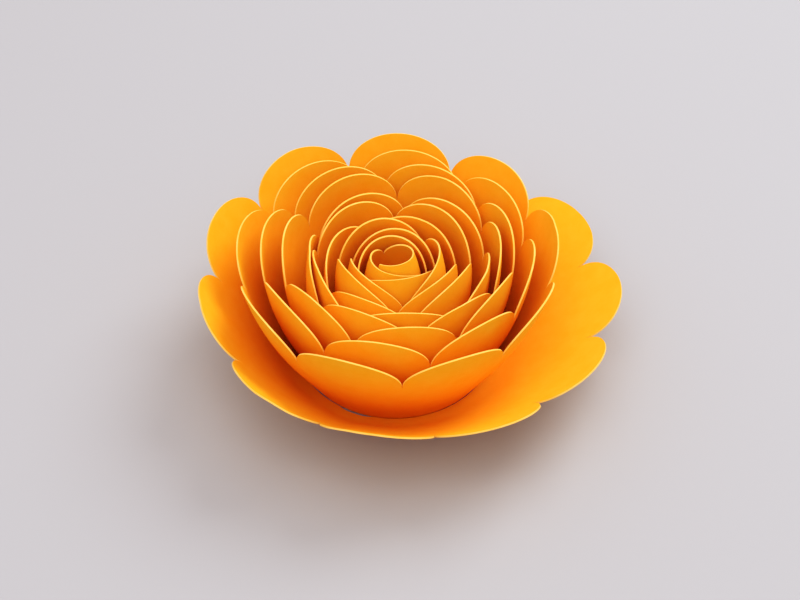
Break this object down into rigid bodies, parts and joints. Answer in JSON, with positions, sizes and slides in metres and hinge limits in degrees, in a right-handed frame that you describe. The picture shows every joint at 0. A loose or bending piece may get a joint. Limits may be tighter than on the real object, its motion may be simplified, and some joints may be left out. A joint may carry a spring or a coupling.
{
  "type": "rolled paper flower",
  "caption": "Rose-like flower rolled from a single strip of stiff card with a scalloped edge, its petals opening from a tight core to a flared outer ring, flat underneath.",
  "frame": {"origin": "centre of the underside of the flat base disc, on the surface that the flower rests on", "axes": "+Z is the axis of the roll, up out of the flower; +X runs towards the widest, most flared petals; -Y is the front"},
  "size_m": [0.1017, 0.0947, 0.0365],
  "materials": {
    "orange_card": "matte, dyed through, uncoated"
  },
  "bodies": {
    "root": {"petal_strip": "orange_card"}
  },
  "joints": []
}
